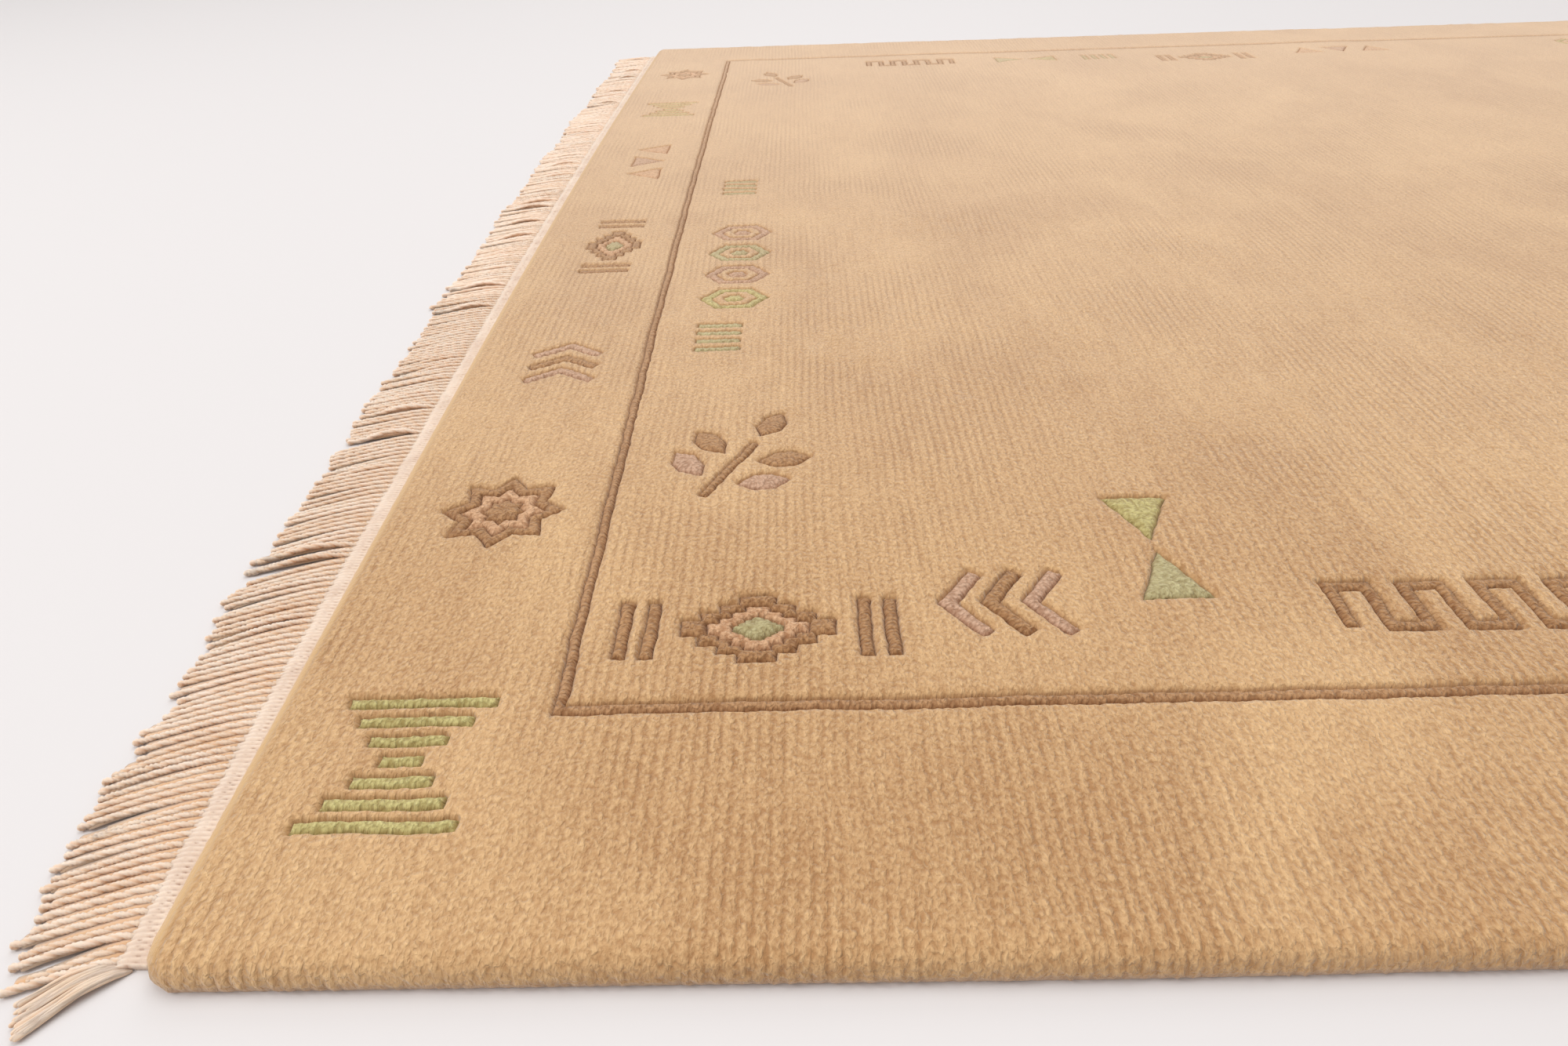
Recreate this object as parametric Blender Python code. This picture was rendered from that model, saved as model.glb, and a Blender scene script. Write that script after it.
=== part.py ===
"""A hand-knotted wool rug lying flat: a carved pile cloth, and at each end a flat-woven strip with a fringe.

Metres, +Z up. X runs along the rug, from fringe to fringe, and Y across it. The origin is on the floor, under
the middle of the rug.
"""

from math import cos, pi, radians, sin

import bmesh
import bpy
from mathutils import Matrix, Vector

# The pile cloth
PILE_LENGTH = 1.830
PILE_WIDTH = 1.220
PILE_THICKNESS = 0.010
CORNER_RADIUS = 0.010
EDGE_ROUNDING = 0.0034
END_BOW = 0.007
SIDE_BOW = -0.003
SIDE_RIPPLE = 0.0008
SIDE_STEPS = 28
END_STEPS = 20

# The thin line that frames the field, and the grooves that shears leave beside each colour
FRAME_INSET = 0.090
FRAME_LINE = 0.0052
FRAME_STEPS = 6
FRAME_WANDER = 0.004
FRAME_BOW = 0.003
GROOVE_WIDTH = 0.0026
GROOVE_DEPTH = 0.0022
SHEAR_RISE = 0.0006

# The flat-woven strip and the fringe at each end
PIECE_GAP = 0.0004
STRIP_WIDTH = 0.010
STRIP_INSET = 0.007
STRIP_THICKNESS = 0.0026
LOCKS = 148
LOCK_WIDTH = 0.0062
LOCK_REACH = 0.033
LOCK_UNEVEN = 0.0022
LOCK_SECTIONS = [
    # (share of the reach, share of the lean, width, height)
    (0.55, 0.45, 0.0062, 0.0034),
    (1.00, 1.00, 0.0044, 0.0022),
]
LEAN = 0.016
LEAN_GROUPS = 0.0012
CORNER_LEAN = 0.006
CORNER_SHARE = 0.12

COLOURS = {
    "pile_wool": (0.60, 0.36, 0.185, 1.0),
    "cotton": (0.80, 0.66, 0.55, 1.0),
}

# Motif layout for the left half of the rug, in metres from its left end and its near side.
# The right half is the left one turned half a turn.
LAYOUT = [
    # (motif, along, across, turn in degrees)
    ("hourglass", 0.046, 0.070, 0),
    ("star", 0.046, 0.205, 0),
    ("chevrons", 0.046, 0.345, 0),
    ("lozenge_with_bars", 0.046, 0.520, 0),
    ("teeth", 0.046, 0.720, 90),
    ("hourglass", 0.046, 0.900, 0),
    ("star", 0.046, 1.060, 0),
    ("sprig", 0.142, 0.245, -25),
    ("lozenge_with_bars", 0.152, 0.128, 90),
    ("chevrons", 0.237, 0.140, 90),
    ("bow_tie", 0.300, 0.172, 90),
    ("crenels", 0.405, 0.134, 0),
    ("star", 0.505, 0.140, 0),
    ("teeth", 0.615, 0.130, 0),
    ("hexagons", 0.760, 0.132, 90),
    ("comb", 0.124, 0.370, 90),
    ("hexagons", 0.130, 0.480, 0),
    ("comb", 0.124, 0.640, 90),
    ("sprig", 0.150, 1.020, 20),
    ("crenels", 0.300, 1.088, 0),
    ("bow_tie", 0.420, 1.088, 0),
    ("comb", 0.500, 1.088, 0),
    ("lozenge_with_bars", 0.610, 1.070, 90),
    ("teeth", 0.760, 1.088, 0),
]


def clear_scene():
    for obj in list(bpy.data.objects):
        bpy.data.objects.remove(obj, do_unlink=True)


def collection(name, hidden=False):
    made = bpy.data.collections.new(name)
    bpy.context.scene.collection.children.link(made)
    made.hide_render = hidden
    return made


def wool_or_cotton(name, roughness):
    material = bpy.data.materials.new(name)
    material.use_nodes = True
    shader = material.node_tree.nodes["Principled BSDF"]
    shader.inputs["Base Color"].default_value = COLOURS[name]
    shader.inputs["Roughness"].default_value = roughness
    shader.inputs["Metallic"].default_value = 0.0
    return material


def new_object(name, bm, group, material=None):
    mesh = bpy.data.meshes.new(name)
    bm.to_mesh(mesh)
    bm.free()
    obj = bpy.data.objects.new(name, mesh)
    group.objects.link(obj)
    if material:
        mesh.materials.append(material)
    return obj


# Outline of the pile


def end_edge(share):
    """How far an end of the pile bows out, at a share of the way across it."""
    return END_BOW * sin(pi * share)


def side_edge(share):
    """How far a long side bows out, at a share of the way along it. A handmade side also ripples a little."""
    ripple = SIDE_RIPPLE * (sin(7 * pi * share) + 0.6 * sin(17 * pi * share + 0.8))
    return SIDE_BOW * sin(pi * share) + ripple * sin(pi * share)


def rounded_corner(x, y, start_angle):
    """Points of a quarter circle inside the corner (x, y)."""
    centre = Vector((x - CORNER_RADIUS * (1 if x > 0 else -1), y - CORNER_RADIUS * (1 if y > 0 else -1)))
    angles = [start_angle + step * pi / 6 for step in range(4)]
    return [centre + CORNER_RADIUS * Vector((cos(a), sin(a))) for a in angles]


def pile_outline():
    """The pile's outline, anticlockwise, from the near left corner."""
    x, y = PILE_LENGTH / 2, PILE_WIDTH / 2
    sides = [step / SIDE_STEPS for step in range(1, SIDE_STEPS)]
    ends = [step / END_STEPS for step in range(1, END_STEPS)]
    near = [Vector((-x + PILE_LENGTH * s, -y - side_edge(s))) for s in sides]
    right = [Vector((x + end_edge(s), -y + PILE_WIDTH * s)) for s in ends]
    return (
        rounded_corner(-x, -y, pi)
        + near
        + rounded_corner(x, -y, 1.5 * pi)
        + right
        + rounded_corner(x, y, 0)
        + [-point for point in near]
        + rounded_corner(-x, y, 0.5 * pi)
        + [-point for point in right]
    )


# Outlines of the carved motifs, round their own middle


def rectangle(width, height, x=0.0, y=0.0):
    corners = [(-0.5, -0.5), (0.5, -0.5), (0.5, 0.5), (-0.5, 0.5)]
    return [Vector((x + width * a, y + height * b)) for a, b in corners]


def stroke(line, width):
    """The outline of a band that follows an open line: out along its right side and back along its left."""
    outline = []
    for run in (line, line[::-1]):
        for i, point in enumerate(run):
            before = (point - run[i - 1]).normalized() if i else (run[1] - point).normalized()
            after = (run[i + 1] - point).normalized() if i + 1 < len(run) else before
            right = Vector((before.y + after.y, -before.x - after.x)).normalized()
            mitre = right.dot(Vector((before.y, -before.x)))
            outline.append(point + right * (width / 2 / mitre))
    return outline


def lozenge_with_bars():
    """A stepped lozenge between two pairs of short bars."""
    half_width, half_height, steps = 0.0175, 0.027, 4
    bar_length, bar_height = 0.030, 0.0048
    bar_places = (0.0370, 0.0465)
    stairs = []
    for step in range(steps):
        x = half_width * (1 - step / steps)
        stairs += [Vector((x, half_height * step / steps)), Vector((x, half_height * (step + 1) / steps))]
    # The lowest stair of each half runs on into the other half, so its end on the axis is left out.
    upper = stairs[1:] + [Vector((-point.x, point.y)) for point in reversed(stairs[1:])]
    lozenge = upper + [-point for point in upper]
    bars = [rectangle(bar_length, bar_height, 0, side * y) for y in bar_places for side in (-1, 1)]
    return [lozenge] + bars


def teeth():
    """Three triangles in a row, like the teeth of a saw, the middle one upside down."""
    pitch, half_base, half_height = 0.036, 0.0145, 0.0125
    corners = ((-half_base, -half_height), (half_base, -half_height), (0, half_height))
    triangle = [Vector(corner) for corner in corners]
    left, right = Vector((-pitch, 0)), Vector((pitch, 0))
    return [[left + p for p in triangle], [-p for p in triangle], [right + p for p in triangle]]


def leaf(length, width, root, turn):
    """A pointed oval that grows from its root."""
    shoulder, shoulder_width = 0.32, 0.46
    edge = [(0, 0), (shoulder, -shoulder_width), (1 - shoulder, -shoulder_width)]
    edge += [(1 - along, -across) for along, across in edge]
    spin = Matrix.Rotation(turn, 2)
    return [root + spin @ Vector((length * along, width * across)) for along, across in edge]


def sprig():
    """A straight stem with two pairs of leaves and one at its tip."""
    stem_width, stem_foot, stem_top = 0.004, -0.036, 0.012
    leaf_length, leaf_width = 0.024, 0.013
    tip_root, side_root, side_turn = 0.0178, 0.0082, radians(58)
    stem = rectangle(stem_width, stem_top - stem_foot, 0, (stem_foot + stem_top) / 2)
    leaves = [leaf(leaf_length, leaf_width, Vector((0, tip_root)), pi / 2)]
    for height in (-0.022, -0.002):
        for side in (1, -1):
            root, turn = Vector((side * side_root, height)), pi / 2 - side * side_turn
            leaves.append(leaf(leaf_length, leaf_width, root, turn))
    return [stem] + leaves


def star():
    """An eight-pointed star."""
    points, outer, inner = 8, 0.026, 0.0178
    radii = [outer, inner] * points
    angles = [pi * step / points for step in range(2 * points)]
    return [[Vector((radius * cos(angle), radius * sin(angle))) for radius, angle in zip(radii, angles)]]


def hourglass():
    """Seven bars, the shortest in the middle."""
    pitch, height, waist, growth = 0.0082, 0.0046, 0.013, 0.0115
    return [rectangle(waist + growth * abs(row), height, 0, pitch * row) for row in range(-3, 4)]


def crenels():
    """A band that steps up and down, like a battlement."""
    half_height, pitch, repeats, band = 0.011, 0.026, 4, 0.005
    line = []
    for step in range(repeats):
        x = pitch * (step - repeats / 2)
        line += [Vector((x, -half_height)), Vector((x, half_height))]
        line += [Vector((x + pitch / 2, half_height)), Vector((x + pitch / 2, -half_height))]
    return [stroke(line, band)]


def chevrons():
    """Three nested chevrons, one over the other."""
    pitch, half_width, rise, band = 0.0145, 0.017, 0.012, 0.0056
    feet = [pitch * row - 2 * rise / 3 for row in (-1, 0, 1)]
    return [
        stroke([Vector((-half_width, foot)), Vector((0, foot + rise)), Vector((half_width, foot))], band)
        for foot in feet
    ]


def hexagons():
    """A column of four hexagons."""
    half_width, half_height, pitch = 0.0200, 0.0165, 0.038
    places = [pitch * row for row in (-1.5, -0.5, 0.5, 1.5)]
    angles = [pi / 3 * step for step in range(6)]
    return [[Vector((half_width * cos(a), y + half_height * sin(a))) for a in angles] for y in places]


def comb():
    """Four short upright bars side by side."""
    width, height, pitch = 0.0048, 0.024, 0.0098
    return [rectangle(width, height, pitch * row) for row in (-1.5, -0.5, 0.5, 1.5)]


def bow_tie():
    """Two triangles, point to point."""
    waist, reach, half_height = 0.0035, 0.032, 0.013
    wing = [Vector((waist, 0.0)), Vector((reach, -half_height)), Vector((reach, half_height))]
    return [wing, [-point for point in wing]]


MOTIFS = {
    "lozenge_with_bars": lozenge_with_bars,
    "teeth": teeth,
    "sprig": sprig,
    "star": star,
    "hourglass": hourglass,
    "crenels": crenels,
    "chevrons": chevrons,
    "hexagons": hexagons,
    "comb": comb,
    "bow_tie": bow_tie,
}


def placed_motifs():
    """Every motif outline at its place on the rug, and its half-turned copy on the other half."""
    outlines = []
    for motif, along, across, turn in LAYOUT:
        middle = Vector((along - PILE_LENGTH / 2, across - PILE_WIDTH / 2))
        spin = Matrix.Rotation(radians(turn), 2)
        for outline in MOTIFS[motif]():
            placed = [middle + spin @ point for point in outline]
            outlines += [placed, [-point for point in placed]]
    return outlines


def frame_line_outlines():
    """The inner and the outer edge of the thin frame line, which wanders a little, as it was knotted."""
    outlines = []
    for edge in (FRAME_LINE / 2, -FRAME_LINE / 2):
        x = PILE_LENGTH / 2 - FRAME_INSET + edge
        y = PILE_WIDTH / 2 - FRAME_INSET + edge
        shares = [step / FRAME_STEPS for step in range(FRAME_STEPS)]
        near = [Vector((x * (2 * s - 1), -y + FRAME_WANDER * sin(pi * s) * sin(5 * s + 0.5))) for s in shares]
        right = [Vector((x + FRAME_BOW * sin(pi * s), y * (2 * s - 1))) for s in shares]
        outlines.append(near + right + [-p for p in near] + [-p for p in right])
    return outlines


# The solids


def add_groove(bm, outline):
    """A closed ring with a V-shaped section that follows an outline, to cut one sheared groove."""
    half_top = GROOVE_WIDTH / 2 * (1 + SHEAR_RISE / GROOVE_DEPTH)
    rings = []
    for i, point in enumerate(outline):
        before = (point - outline[i - 1]).normalized()
        after = (outline[(i + 1) % len(outline)] - point).normalized()
        right = Vector((before.y + after.y, -before.x - after.x)).normalized()
        reach = right * (half_top / right.dot(Vector((before.y, -before.x))))
        section = [(point + reach, SHEAR_RISE), (point - reach, SHEAR_RISE), (point, -GROOVE_DEPTH)]
        rings.append([bm.verts.new((place.x, place.y, PILE_THICKNESS + height)) for place, height in section])
    for ring, following in zip(rings, rings[1:] + rings[:1]):
        for a, b in ((0, 1), (1, 2), (2, 0)):
            bm.faces.new((ring[a], ring[b], following[b], following[a]))


def groove_cutter(cutters):
    bm = bmesh.new()
    for outline in frame_line_outlines() + placed_motifs():
        add_groove(bm, outline)
    bmesh.ops.recalc_face_normals(bm, faces=bm.faces)
    cutter = new_object("sheared_grooves", bm, cutters)
    cutter.hide_render = True
    cutter.display_type = "WIRE"
    return cutter


def slab(outline, thickness):
    """A flat solid from an anticlockwise outline on the floor, and its upper points."""
    bm = bmesh.new()
    floor = bm.faces.new([bm.verts.new((point.x, point.y, 0.0)) for point in outline])
    made = bmesh.ops.extrude_face_region(bm, geom=[floor])["geom"]
    upper = [item for item in made if isinstance(item, bmesh.types.BMVert)]
    bmesh.ops.translate(bm, verts=upper, vec=(0, 0, thickness))
    bmesh.ops.recalc_face_normals(bm, faces=bm.faces)
    return bm, upper


def pile(parts, cutters, wool):
    """The pile on its woven ground, with a rounded upper edge and the sheared grooves in its face."""
    bm, upper = slab(pile_outline(), PILE_THICKNESS)
    rim = [edge for edge in bm.edges if all(vert in upper for vert in edge.verts)]
    bmesh.ops.bevel(bm, geom=rim, offset=EDGE_ROUNDING, segments=2, profile=0.5, affect="EDGES")
    cloth = new_object("pile", bm, parts, wool)
    cut = cloth.modifiers.new("sheared grooves", "BOOLEAN")
    cut.operation = "DIFFERENCE"
    cut.object = groove_cutter(cutters)
    cut.solver = "EXACT"


def beside_pile(share, out):
    """A point beside the left end of the pile, at a share of the way across and a distance out from it."""
    return Vector((-PILE_LENGTH / 2 - PIECE_GAP - end_edge(share) - out, PILE_WIDTH * (share - 0.5)))


def lock_lean(share):
    """How far a lock leans to the near side at its tip: in loose groups, and most at the corner."""
    groups = LEAN_GROUPS * (sin(41 * share + 1.0) + 0.7 * sin(97 * share))
    return LEAN + groups + CORNER_LEAN * max(0.0, 1 - share / CORNER_SHARE) ** 2


def lock_reach(share):
    """How far out a lock's tip lies. The fringe was cut by hand, so it is uneven."""
    return LOCK_REACH + LOCK_UNEVEN * (sin(53 * share) + 0.7 * sin(151 * share + 2.0))


def draw_out_lock(bm, root, share):
    """A lock, drawn out from its root on the strip by the rows of its table."""
    face = root
    for reach, lean, width, height in LOCK_SECTIONS:
        face = bmesh.ops.extrude_discrete_faces(bm, faces=[face])["faces"][0]
        middle = face.calc_center_median()
        place = beside_pile(share, STRIP_WIDTH + reach * lock_reach(share))
        across = place.y - lean * lock_lean(share)
        for vert in face.verts:
            side = 1 if vert.co.y > middle.y else -1
            above = vert.co.z > middle.z
            vert.co = (place.x, across + side * width / 2, height if above else 0.0)


def fringe(name, turn, parts, cotton):
    """The flat-woven strip that locks the last row of knots, and the twisted warp ends that leave it."""
    first = STRIP_INSET / PILE_WIDTH
    pitch = (1 - 2 * first) / LOCKS
    middles = [first + pitch * (lock + 0.5) for lock in range(LOCKS)]
    half = LOCK_WIDTH / 2 / PILE_WIDTH
    inner = [first] + [step / END_STEPS for step in range(1, END_STEPS)] + [1 - first]
    outer = [first] + [middle + side * half for middle in middles for side in (-1, 1)] + [1 - first]
    outline = [beside_pile(share, STRIP_WIDTH) for share in reversed(outer)]
    bm, _ = slab(outline + [beside_pile(share, 0) for share in inner], STRIP_THICKNESS)
    outer_sides = [face for face in bm.faces if face.normal.x < -0.5]
    outer_sides.sort(key=lambda face: face.calc_center_median().y)
    # The strip's outer side is bare, lock, bare, lock and so on, and its roots are every second side.
    for root, share in zip(outer_sides[1::2], middles):
        draw_out_lock(bm, root, share)
    obj = new_object(name, bm, parts, cotton)
    obj.rotation_euler.z = turn


def main():
    clear_scene()
    parts = collection("knotted_rug")
    cutters = collection("cutters", hidden=True)
    wool = wool_or_cotton("pile_wool", 0.95)
    cotton = wool_or_cotton("cotton", 0.9)
    pile(parts, cutters, wool)
    fringe("fringe_left", 0.0, parts, cotton)
    fringe("fringe_right", pi, parts, cotton)


main()
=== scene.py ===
"""A Nepalese hand-knotted wool rug on a plain pale floor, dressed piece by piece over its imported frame."""

import math

import bmesh
import bpy
import numpy as np
from mathutils import Matrix, Vector
from mathutils.geometry import delaunay_2d_cdt
from mathutils.kdtree import KDTree


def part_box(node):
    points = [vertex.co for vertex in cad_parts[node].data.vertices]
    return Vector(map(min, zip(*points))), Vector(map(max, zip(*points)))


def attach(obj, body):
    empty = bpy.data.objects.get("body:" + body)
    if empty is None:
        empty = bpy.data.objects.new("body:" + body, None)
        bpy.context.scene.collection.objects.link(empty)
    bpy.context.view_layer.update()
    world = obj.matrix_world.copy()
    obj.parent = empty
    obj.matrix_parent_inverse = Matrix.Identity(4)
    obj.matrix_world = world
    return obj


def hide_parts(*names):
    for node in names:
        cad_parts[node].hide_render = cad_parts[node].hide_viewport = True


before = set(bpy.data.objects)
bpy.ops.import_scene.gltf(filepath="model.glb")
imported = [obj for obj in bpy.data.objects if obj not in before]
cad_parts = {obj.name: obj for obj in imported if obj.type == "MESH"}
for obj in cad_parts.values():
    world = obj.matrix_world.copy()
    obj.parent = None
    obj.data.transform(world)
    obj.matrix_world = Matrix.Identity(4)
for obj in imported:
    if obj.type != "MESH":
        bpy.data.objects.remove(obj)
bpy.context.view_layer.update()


# The woven back
# Under the pile lies the ground that the knots are tied on: cotton warps with wool wefts beaten hard between
# them. It is one cloth with the pile, and only its ribbed underside would show, when a corner is turned up.

pile_low, pile_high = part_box("pile")
half_length = pile_high[0] - 0.007
half_width = pile_high[1]
end_bow = 0.007
side_bow = -0.003
side_ripple = 0.0008
corner_radius = 0.010
cloth_thickness = pile_high[2]
back_thickness = 0.0016
back_inset = 0.0016
back_rib_scale = 82.0
back_knot_scale = 290.0
near_part_length = 0.80
near_part_width = 0.45


def end_edge(share):
    """How far an end of the rug bows out, at a share of the way across."""
    return end_bow * np.sin(math.pi * share)


def side_edge(share):
    """How far a long side bows out, at a share of the way along. It ripples a little too."""
    ripple = side_ripple * (np.sin(7 * math.pi * share) + 0.6 * np.sin(17 * math.pi * share + 0.8))
    return (side_bow + ripple) * np.sin(math.pi * share)


def evenly(start, stop, step):
    return np.linspace(start, stop, max(2, int(round(abs(stop - start) / step)) + 1))


def rug_outline(near_step, far_step):
    """The rug's outline, anticlockwise from the near left corner, finest on the sides by that corner."""
    turn = [np.linspace(0, math.pi / 2, 9) + quarter * math.pi / 2 for quarter in (2, 3, 0, 1)]
    inner = np.array([half_length, half_width]) - corner_radius
    corners = []
    for angles, (sx, sy) in zip(turn, ((-1, -1), (1, -1), (1, 1), (-1, 1))):
        arc = np.stack([np.cos(angles), np.sin(angles)], axis=1) * corner_radius
        corners.append(arc + np.array([sx, sy]) * inner)
    near_part = -inner + (near_part_length, near_part_width)
    along = evenly(-inner[0], near_part[0] - 0.3, near_step)
    along = np.concatenate([along, evenly(near_part[0] - 0.3, near_part[0], near_step * 1.4)[1:]])
    along = np.concatenate([along, evenly(near_part[0], inner[0], far_step)[1:]])
    across = evenly(-inner[1], near_part[1], near_step)
    across = np.concatenate([across, evenly(near_part[1], inner[1], far_step)[1:]])
    near = np.stack([along, -half_width - side_edge(along / half_length / 2 + 0.5)], axis=1)
    left = np.stack([-half_length - end_edge(across / half_width / 2 + 0.5), across], axis=1)
    coarse = evenly(-inner[0], inner[0], far_step * 1.6)
    far = np.stack([coarse, half_width + side_edge(-coarse / half_length / 2 + 0.5)], axis=1)
    coarse = evenly(-inner[1], inner[1], far_step * 1.6)
    right = np.stack([half_length + end_edge(coarse / half_width / 2 + 0.5), coarse], axis=1)
    near_and_right = [corners[0], near[1:-1], corners[1], right[1:-1]]
    far_and_left = [corners[2], far[::-1][1:-1], corners[3], left[::-1][1:-1]]
    return np.concatenate(near_and_right + far_and_left)


def outward(outline):
    """The unit vectors that point out of a closed anticlockwise outline, one for each point."""
    along = np.roll(outline, -1, axis=0) - np.roll(outline, 1, axis=0)
    along /= np.linalg.norm(along, axis=1)[:, None]
    return np.stack([along[:, 1], -along[:, 0]], axis=1)


def mesh_object(name, points, faces, material):
    mesh = bpy.data.meshes.new(name)
    mesh.from_pydata(np.asarray(points).tolist(), [], [list(map(int, face)) for face in faces])
    mesh.materials.append(material)
    mesh.shade_smooth()
    obj = bpy.data.objects.new(name, mesh)
    bpy.context.scene.collection.objects.link(obj)
    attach(obj, "root")
    return obj


def new_material(name):
    """A material with its nodes and its shader."""
    material = bpy.data.materials.new(name)
    material.use_nodes = True
    nodes = material.node_tree.nodes
    return material, nodes, material.node_tree.links, nodes["Principled BSDF"]


back_cotton, nodes, links, shader = new_material("back_cotton")
places = nodes.new("ShaderNodeTexCoord")
ribs = nodes.new("ShaderNodeTexWave")
ribs.wave_type, ribs.bands_direction = "BANDS", "X"
ribs.inputs["Scale"].default_value = back_rib_scale
ribs.inputs["Distortion"].default_value = 1.2
ribs.inputs["Detail Scale"].default_value = 3.0
knot_backs = nodes.new("ShaderNodeTexVoronoi")
knot_backs.inputs["Scale"].default_value = back_knot_scale
height = nodes.new("ShaderNodeMath")
height.operation = "ADD"
tone = nodes.new("ShaderNodeValToRGB")
tone.color_ramp.elements[0].color = (0.36, 0.24, 0.14, 1)
tone.color_ramp.elements[1].color = (0.62, 0.46, 0.31, 1)
bump = nodes.new("ShaderNodeBump")
bump.inputs["Strength"].default_value = 0.6
bump.inputs["Distance"].default_value = 0.0006
links.new(places.outputs["Object"], ribs.inputs["Vector"])
links.new(places.outputs["Object"], knot_backs.inputs["Vector"])
links.new(ribs.outputs["Fac"], height.inputs[0])
links.new(knot_backs.outputs["Distance"], height.inputs[1])
links.new(height.outputs["Value"], tone.inputs["Fac"])
links.new(height.outputs["Value"], bump.inputs["Height"])
links.new(tone.outputs["Color"], shader.inputs["Base Color"])
links.new(bump.outputs["Normal"], shader.inputs["Normal"])
shader.inputs["Roughness"].default_value = 0.9

edge_loop = rug_outline(near_step=0.006, far_step=0.008)
bpy.ops.object.select_all(action="DESELECT")
woven_back = mesh_object("woven_back", np.zeros((0, 3)), [], back_cotton)
bm = bmesh.new()
rim = [bm.verts.new((x, y, 0.0)) for x, y in edge_loop - outward(edge_loop) * back_inset]
floor_side = bm.faces.new(rim)
made = bmesh.ops.extrude_face_region(bm, geom=[floor_side])["geom"]
top_points = [part for part in made if isinstance(part, bmesh.types.BMVert)]
bmesh.ops.translate(bm, verts=top_points, vec=(0, 0, back_thickness))
bmesh.ops.recalc_face_normals(bm, faces=bm.faces)
bmesh.ops.triangulate(bm, faces=[face for face in bm.faces if len(face.verts) > 4])
bm.to_mesh(woven_back.data)
bm.free()
woven_back.data.shade_smooth()
woven_back.data.set_sharp_from_angle(angle=math.radians(40))
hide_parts("pile")


# The pile
# Wool tufts, knotted row by row across the rug, sheared level and then carved with shears along every change
# of colour. The border and the field are one amber wool, and share one height and one row pattern.

row_pitch = 0.0038
knot_size = 0.0014
bead_pitch = 0.0024
groove_depth = 0.0015
groove_reach = 0.00070
stroke_rounding = 0.0008
face_level = cloth_thickness - 0.0004
frame_inset = 0.090
frame_line = 0.0045
frame_wander = 0.004
frame_bow = 0.003
closest_place = np.array([-half_length + 0.165, -half_width])
close_by = 0.35
far_off = 0.9
figure_margin = 0.003
knot_clear = 0.0017
shoulder_offsets = (0.0005, 0.0011)


def soft_noise(x, y, size, seed):
    """Smooth noise from -1 to 1, whose lumps are about as wide as size."""
    count = 97
    lattice = np.random.default_rng(seed).uniform(-1, 1, (count, count))
    u, v = x / size + 31.7, y / size + 17.3
    i, j = np.floor(u).astype(int), np.floor(v).astype(int)
    s, t = u - i, v - j
    s, t = s * s * (3 - 2 * s), t * t * (3 - 2 * t)
    i, j, k, m = i % count, j % count, (i + 1) % count, (j + 1) % count
    low = lattice[i, j] * (1 - s) + lattice[k, j] * s
    high = lattice[i, m] * (1 - s) + lattice[k, m] * s
    return low * (1 - t) + high * t


def from_eye(points):
    """How far each point lies from the place on the near side where the eye comes closest."""
    return np.linalg.norm(points - closest_place, axis=1)


def eased(value, start, stop):
    share = np.clip((value - start) / (stop - start), 0, 1)
    return share * share * (3 - 2 * share)


def row_place(x, y):
    """Where a point lies along the rug, counted in straight rows: the real rows wander a little."""
    return x + 0.0007 * soft_noise(x, y, 0.030, 3) + 0.0009 * soft_noise(x, y, 0.11, 4)


def rectangle(width, height, x=0.0, y=0.0):
    corners = np.array([(-0.5, -0.5), (0.5, -0.5), (0.5, 0.5), (-0.5, 0.5)])
    return corners * (width, height) + (x, y)


def stroke(line, width):
    """The outline of a band that follows an open line: out along its right side and back along its left."""
    outline = []
    for run in (line, line[::-1]):
        run = np.array(run, float)
        for i, point in enumerate(run):
            before = point - run[i - 1] if i else run[1] - point
            after = run[i + 1] - point if i + 1 < len(run) else before
            before, after = before / np.linalg.norm(before), after / np.linalg.norm(after)
            right = np.array([before[1] + after[1], -before[0] - after[0]])
            right /= np.linalg.norm(right)
            outline.append(point + right * width / 2 / np.dot(right, (before[1], -before[0])))
    return np.array(outline)


def lozenge_with_bars():
    half_w, half_h, steps = 0.0175, 0.027, 4
    stairs = []
    for step in range(steps):
        x = half_w * (1 - step / steps)
        stairs += [(x, half_h * step / steps), (x, half_h * (step + 1) / steps)]
    upper = stairs[1:] + [(-x, y) for x, y in reversed(stairs[1:])]
    lozenge = np.array(upper + [(-x, -y) for x, y in upper])
    bars = [("brown", rectangle(0.030, 0.0048, 0, side * y)) for y in (0.0370, 0.0465) for side in (-1, 1)]
    return [("brown", lozenge), ("salmon", lozenge * 0.66), ("sage", lozenge * 0.34)] + bars


def teeth():
    pitch, half_base, half_height = 0.036, 0.0145, 0.0125
    triangle = np.array([(-half_base, -half_height), (half_base, -half_height), (0, half_height)])
    return [("salmon", triangle - (pitch, 0)), ("mauve", -triangle), ("salmon", triangle + (pitch, 0))]


def spun(shape, turn):
    """A shape turned anticlockwise about its middle."""
    spin = np.array([(math.cos(turn), -math.sin(turn)), (math.sin(turn), math.cos(turn))])
    return shape @ spin.T


def leaf(length, width, root, turn):
    shoulder, shoulder_width = 0.32, 0.46
    edge = [(0, 0), (shoulder, -shoulder_width), (1 - shoulder, -shoulder_width)]
    edge += [(1 - along, -across) for along, across in edge]
    return spun(np.array(edge) * (length, width), turn) + root


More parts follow.
